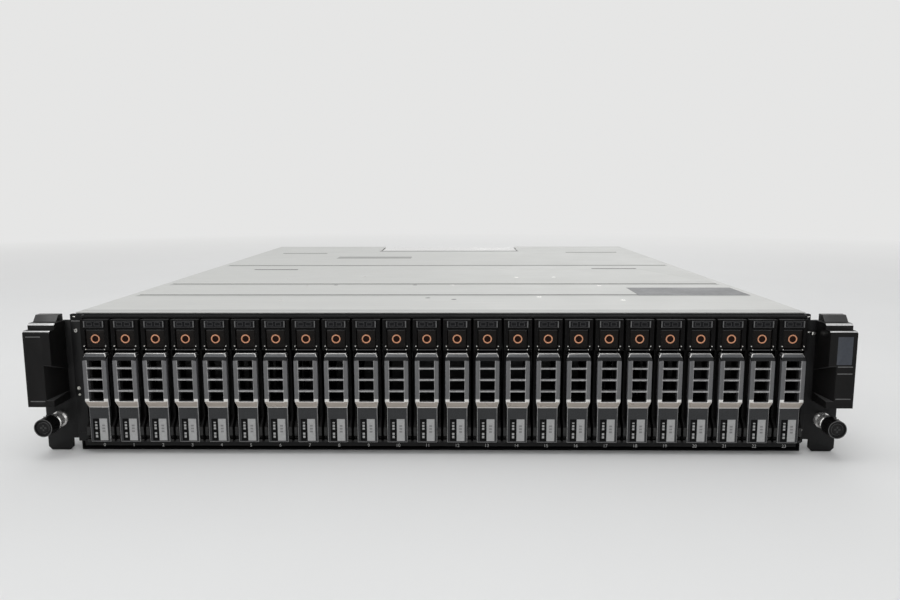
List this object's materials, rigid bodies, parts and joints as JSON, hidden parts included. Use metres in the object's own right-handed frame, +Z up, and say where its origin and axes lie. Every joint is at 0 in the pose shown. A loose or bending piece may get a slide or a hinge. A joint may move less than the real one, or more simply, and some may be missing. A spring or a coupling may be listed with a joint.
{
  "type": "rack storage array",
  "caption": "Rack storage array: flat sheet-metal enclosure with a row of upright drive carriers that unlatch and slide out of the front, and modules that slide out of the rear.",
  "frame": {"origin": "middle of the underside, in the plane of the rack posts' front faces", "axes": "+Z up, +Y towards the rear, +X to the right seen from the front"},
  "size_m": [0.4826, 0.5868, 0.0854],
  "materials": {
    "enclosure_sheet": "satin",
    "cover_sheet": "satin",
    "cage_black": "satin",
    "circuit_board": "matte",
    "ear_black": "satin",
    "knob_black": "satin",
    "carrier_black": "satin",
    "handle_grey": "satin",
    "module_sheet": "satin"
  },
  "bodies": {
    "enclosure": {"base_tray": "enclosure_sheet", "top_cover": "cover_sheet", "drive_cage": "cage_black", "midplane": "circuit_board", "rack_ear_left": "ear_black", "rack_ear_right": "ear_black"},
    "carrier_00": {"drive_carrier_00": "carrier_black"},
    "handle_00": {"carrier_handle_00": "handle_grey"},
    "carrier_01": {"drive_carrier_01": "carrier_black"},
    "handle_01": {"carrier_handle_01": "handle_grey"},
    "carrier_02": {"drive_carrier_02": "carrier_black"},
    "handle_02": {"carrier_handle_02": "handle_grey"},
    "carrier_03": {"drive_carrier_03": "carrier_black"},
    "handle_03": {"carrier_handle_03": "handle_grey"},
    "carrier_04": {"drive_carrier_04": "carrier_black"},
    "handle_04": {"carrier_handle_04": "handle_grey"},
    "carrier_05": {"drive_carrier_05": "carrier_black"},
    "handle_05": {"carrier_handle_05": "handle_grey"},
    "carrier_06": {"drive_carrier_06": "carrier_black"},
    "handle_06": {"carrier_handle_06": "handle_grey"},
    "carrier_07": {"drive_carrier_07": "carrier_black"},
    "handle_07": {"carrier_handle_07": "handle_grey"},
    "carrier_08": {"drive_carrier_08": "carrier_black"},
    "handle_08": {"carrier_handle_08": "handle_grey"},
    "carrier_09": {"drive_carrier_09": "carrier_black"},
    "handle_09": {"carrier_handle_09": "handle_grey"},
    "carrier_10": {"drive_carrier_10": "carrier_black"},
    "handle_10": {"carrier_handle_10": "handle_grey"},
    "carrier_11": {"drive_carrier_11": "carrier_black"},
    "handle_11": {"carrier_handle_11": "handle_grey"},
    "carrier_12": {"drive_carrier_12": "carrier_black"},
    "handle_12": {"carrier_handle_12": "handle_grey"},
    "carrier_13": {"drive_carrier_13": "carrier_black"},
    "handle_13": {"carrier_handle_13": "handle_grey"},
    "carrier_14": {"drive_carrier_14": "carrier_black"},
    "handle_14": {"carrier_handle_14": "handle_grey"},
    "carrier_15": {"drive_carrier_15": "carrier_black"},
    "handle_15": {"carrier_handle_15": "handle_grey"},
    "carrier_16": {"drive_carrier_16": "carrier_black"},
    "handle_16": {"carrier_handle_16": "handle_grey"},
    "carrier_17": {"drive_carrier_17": "carrier_black"},
    "handle_17": {"carrier_handle_17": "handle_grey"},
    "carrier_18": {"drive_carrier_18": "carrier_black"},
    "handle_18": {"carrier_handle_18": "handle_grey"},
    "carrier_19": {"drive_carrier_19": "carrier_black"},
    "handle_19": {"carrier_handle_19": "handle_grey"},
    "carrier_20": {"drive_carrier_20": "carrier_black"},
    "handle_20": {"carrier_handle_20": "handle_grey"},
    "carrier_21": {"drive_carrier_21": "carrier_black"},
    "handle_21": {"carrier_handle_21": "handle_grey"},
    "carrier_22": {"drive_carrier_22": "carrier_black"},
    "handle_22": {"carrier_handle_22": "handle_grey"},
    "carrier_23": {"drive_carrier_23": "carrier_black"},
    "handle_23": {"carrier_handle_23": "handle_grey"},
    "thumbscrew_left": {"thumbscrew_left": "knob_black"},
    "thumbscrew_right": {"thumbscrew_right": "knob_black"},
    "power_module_left": {"power_module_left": "module_sheet"},
    "power_module_right": {"power_module_right": "module_sheet"},
    "controller_upper": {"controller_upper": "module_sheet"},
    "controller_lower": {"controller_lower": "module_sheet"}
  },
  "joints": [
    {"name": "carrier_slide_00", "type": "slide", "parent": "enclosure", "child": "carrier_00", "axis": [0, -1, 0], "range_m": [0, 0.125]},
    {"name": "handle_hinge_00", "type": "hinge", "parent": "carrier_00", "child": "handle_00", "pos_m": [-0.2046, -0.008, 0.0107], "axis": [1, 0, 0], "range_deg": [0, 60]},
    {"name": "carrier_slide_01", "type": "slide", "parent": "enclosure", "child": "carrier_01", "axis": [0, -1, 0], "range_m": [0, 0.125]},
    {"name": "handle_hinge_01", "type": "hinge", "parent": "carrier_01", "child": "handle_01", "pos_m": [-0.1866, -0.008, 0.0107], "axis": [1, 0, 0], "range_deg": [0, 60]},
    {"name": "carrier_slide_02", "type": "slide", "parent": "enclosure", "child": "carrier_02", "axis": [0, -1, 0], "range_m": [0, 0.125]},
    {"name": "handle_hinge_02", "type": "hinge", "parent": "carrier_02", "child": "handle_02", "pos_m": [-0.1686, -0.008, 0.0107], "axis": [1, 0, 0], "range_deg": [0, 60]},
    {"name": "carrier_slide_03", "type": "slide", "parent": "enclosure", "child": "carrier_03", "axis": [0, -1, 0], "range_m": [0, 0.125]},
    {"name": "handle_hinge_03", "type": "hinge", "parent": "carrier_03", "child": "handle_03", "pos_m": [-0.1506, -0.008, 0.0107], "axis": [1, 0, 0], "range_deg": [0, 60]},
    {"name": "carrier_slide_04", "type": "slide", "parent": "enclosure", "child": "carrier_04", "axis": [0, -1, 0], "range_m": [0, 0.125]},
    {"name": "handle_hinge_04", "type": "hinge", "parent": "carrier_04", "child": "handle_04", "pos_m": [-0.1326, -0.008, 0.0107], "axis": [1, 0, 0], "range_deg": [0, 60]},
    {"name": "carrier_slide_05", "type": "slide", "parent": "enclosure", "child": "carrier_05", "axis": [0, -1, 0], "range_m": [0, 0.125]},
    {"name": "handle_hinge_05", "type": "hinge", "parent": "carrier_05", "child": "handle_05", "pos_m": [-0.1146, -0.008, 0.0107], "axis": [1, 0, 0], "range_deg": [0, 60]},
    {"name": "carrier_slide_06", "type": "slide", "parent": "enclosure", "child": "carrier_06", "axis": [0, -1, 0], "range_m": [0, 0.125]},
    {"name": "handle_hinge_06", "type": "hinge", "parent": "carrier_06", "child": "handle_06", "pos_m": [-0.0966, -0.008, 0.0107], "axis": [1, 0, 0], "range_deg": [0, 60]},
    {"name": "carrier_slide_07", "type": "slide", "parent": "enclosure", "child": "carrier_07", "axis": [0, -1, 0], "range_m": [0, 0.125]},
    {"name": "handle_hinge_07", "type": "hinge", "parent": "carrier_07", "child": "handle_07", "pos_m": [-0.0786, -0.008, 0.0107], "axis": [1, 0, 0], "range_deg": [0, 60]},
    {"name": "carrier_slide_08", "type": "slide", "parent": "enclosure", "child": "carrier_08", "axis": [0, -1, 0], "range_m": [0, 0.125]},
    {"name": "handle_hinge_08", "type": "hinge", "parent": "carrier_08", "child": "handle_08", "pos_m": [-0.0606, -0.008, 0.0107], "axis": [1, 0, 0], "range_deg": [0, 60]},
    {"name": "carrier_slide_09", "type": "slide", "parent": "enclosure", "child": "carrier_09", "axis": [0, -1, 0], "range_m": [0, 0.125]},
    {"name": "handle_hinge_09", "type": "hinge", "parent": "carrier_09", "child": "handle_09", "pos_m": [-0.0426, -0.008, 0.0107], "axis": [1, 0, 0], "range_deg": [0, 60]},
    {"name": "carrier_slide_10", "type": "slide", "parent": "enclosure", "child": "carrier_10", "axis": [0, -1, 0], "range_m": [0, 0.125]},
    {"name": "handle_hinge_10", "type": "hinge", "parent": "carrier_10", "child": "handle_10", "pos_m": [-0.0246, -0.008, 0.0107], "axis": [1, 0, 0], "range_deg": [0, 60]},
    {"name": "carrier_slide_11", "type": "slide", "parent": "enclosure", "child": "carrier_11", "axis": [0, -1, 0], "range_m": [0, 0.125]},
    {"name": "handle_hinge_11", "type": "hinge", "parent": "carrier_11", "child": "handle_11", "pos_m": [-0.0066, -0.008, 0.0107], "axis": [1, 0, 0], "range_deg": [0, 60]},
    {"name": "carrier_slide_12", "type": "slide", "parent": "enclosure", "child": "carrier_12", "axis": [0, -1, 0], "range_m": [0, 0.125]},
    {"name": "handle_hinge_12", "type": "hinge", "parent": "carrier_12", "child": "handle_12", "pos_m": [0.0114, -0.008, 0.0107], "axis": [1, 0, 0], "range_deg": [0, 60]},
    {"name": "carrier_slide_13", "type": "slide", "parent": "enclosure", "child": "carrier_13", "axis": [0, -1, 0], "range_m": [0, 0.125]},
    {"name": "handle_hinge_13", "type": "hinge", "parent": "carrier_13", "child": "handle_13", "pos_m": [0.0294, -0.008, 0.0107], "axis": [1, 0, 0], "range_deg": [0, 60]},
    {"name": "carrier_slide_14", "type": "slide", "parent": "enclosure", "child": "carrier_14", "axis": [0, -1, 0], "range_m": [0, 0.125]},
    {"name": "handle_hinge_14", "type": "hinge", "parent": "carrier_14", "child": "handle_14", "pos_m": [0.0474, -0.008, 0.0107], "axis": [1, 0, 0], "range_deg": [0, 60]},
    {"name": "carrier_slide_15", "type": "slide", "parent": "enclosure", "child": "carrier_15", "axis": [0, -1, 0], "range_m": [0, 0.125]},
    {"name": "handle_hinge_15", "type": "hinge", "parent": "carrier_15", "child": "handle_15", "pos_m": [0.0654, -0.008, 0.0107], "axis": [1, 0, 0], "range_deg": [0, 60]},
    {"name": "carrier_slide_16", "type": "slide", "parent": "enclosure", "child": "carrier_16", "axis": [0, -1, 0], "range_m": [0, 0.125]},
    {"name": "handle_hinge_16", "type": "hinge", "parent": "carrier_16", "child": "handle_16", "pos_m": [0.0834, -0.008, 0.0107], "axis": [1, 0, 0], "range_deg": [0, 60]},
    {"name": "carrier_slide_17", "type": "slide", "parent": "enclosure", "child": "carrier_17", "axis": [0, -1, 0], "range_m": [0, 0.125]},
    {"name": "handle_hinge_17", "type": "hinge", "parent": "carrier_17", "child": "handle_17", "pos_m": [0.1014, -0.008, 0.0107], "axis": [1, 0, 0], "range_deg": [0, 60]},
    {"name": "carrier_slide_18", "type": "slide", "parent": "enclosure", "child": "carrier_18", "axis": [0, -1, 0], "range_m": [0, 0.125]},
    {"name": "handle_hinge_18", "type": "hinge", "parent": "carrier_18", "child": "handle_18", "pos_m": [0.1194, -0.008, 0.0107], "axis": [1, 0, 0], "range_deg": [0, 60]},
    {"name": "carrier_slide_19", "type": "slide", "parent": "enclosure", "child": "carrier_19", "axis": [0, -1, 0], "range_m": [0, 0.125]},
    {"name": "handle_hinge_19", "type": "hinge", "parent": "carrier_19", "child": "handle_19", "pos_m": [0.1374, -0.008, 0.0107], "axis": [1, 0, 0], "range_deg": [0, 60]},
    {"name": "carrier_slide_20", "type": "slide", "parent": "enclosure", "child": "carrier_20", "axis": [0, -1, 0], "range_m": [0, 0.125]},
    {"name": "handle_hinge_20", "type": "hinge", "parent": "carrier_20", "child": "handle_20", "pos_m": [0.1554, -0.008, 0.0107], "axis": [1, 0, 0], "range_deg": [0, 60]},
    {"name": "carrier_slide_21", "type": "slide", "parent": "enclosure", "child": "carrier_21", "axis": [0, -1, 0], "range_m": [0, 0.125]},
    {"name": "handle_hinge_21", "type": "hinge", "parent": "carrier_21", "child": "handle_21", "pos_m": [0.1734, -0.008, 0.0107], "axis": [1, 0, 0], "range_deg": [0, 60]},
    {"name": "carrier_slide_22", "type": "slide", "parent": "enclosure", "child": "carrier_22", "axis": [0, -1, 0], "range_m": [0, 0.125]},
    {"name": "handle_hinge_22", "type": "hinge", "parent": "carrier_22", "child": "handle_22", "pos_m": [0.1914, -0.008, 0.0107], "axis": [1, 0, 0], "range_deg": [0, 60]},
    {"name": "carrier_slide_23", "type": "slide", "parent": "enclosure", "child": "carrier_23", "axis": [0, -1, 0], "range_m": [0, 0.125]},
    {"name": "handle_hinge_23", "type": "hinge", "parent": "carrier_23", "child": "handle_23", "pos_m": [0.2094, -0.008, 0.0107], "axis": [1, 0, 0], "range_deg": [0, 60]},
    {"name": "thumbscrew_turn_left", "type": "hinge", "parent": "enclosure", "child": "thumbscrew_left", "pos_m": [-0.23255, 0, 0.0202], "axis": [0, 1, 0], "continuous": true},
    {"name": "thumbscrew_turn_right", "type": "hinge", "parent": "enclosure", "child": "thumbscrew_right", "pos_m": [0.23255, 0, 0.0202], "axis": [0, 1, 0], "continuous": true},
    {"name": "power_module_left_slide", "type": "slide", "parent": "enclosure", "child": "power_module_left", "axis": [0, 1, 0], "range_m": [0, 0.3]},
    {"name": "power_module_right_slide", "type": "slide", "parent": "enclosure", "child": "power_module_right", "axis": [0, 1, 0], "range_m": [0, 0.3]},
    {"name": "controller_upper_slide", "type": "slide", "parent": "enclosure", "child": "controller_upper", "axis": [0, 1, 0], "range_m": [0, 0.3]},
    {"name": "controller_lower_slide", "type": "slide", "parent": "enclosure", "child": "controller_lower", "axis": [0, 1, 0], "range_m": [0, 0.3]}
  ]
}
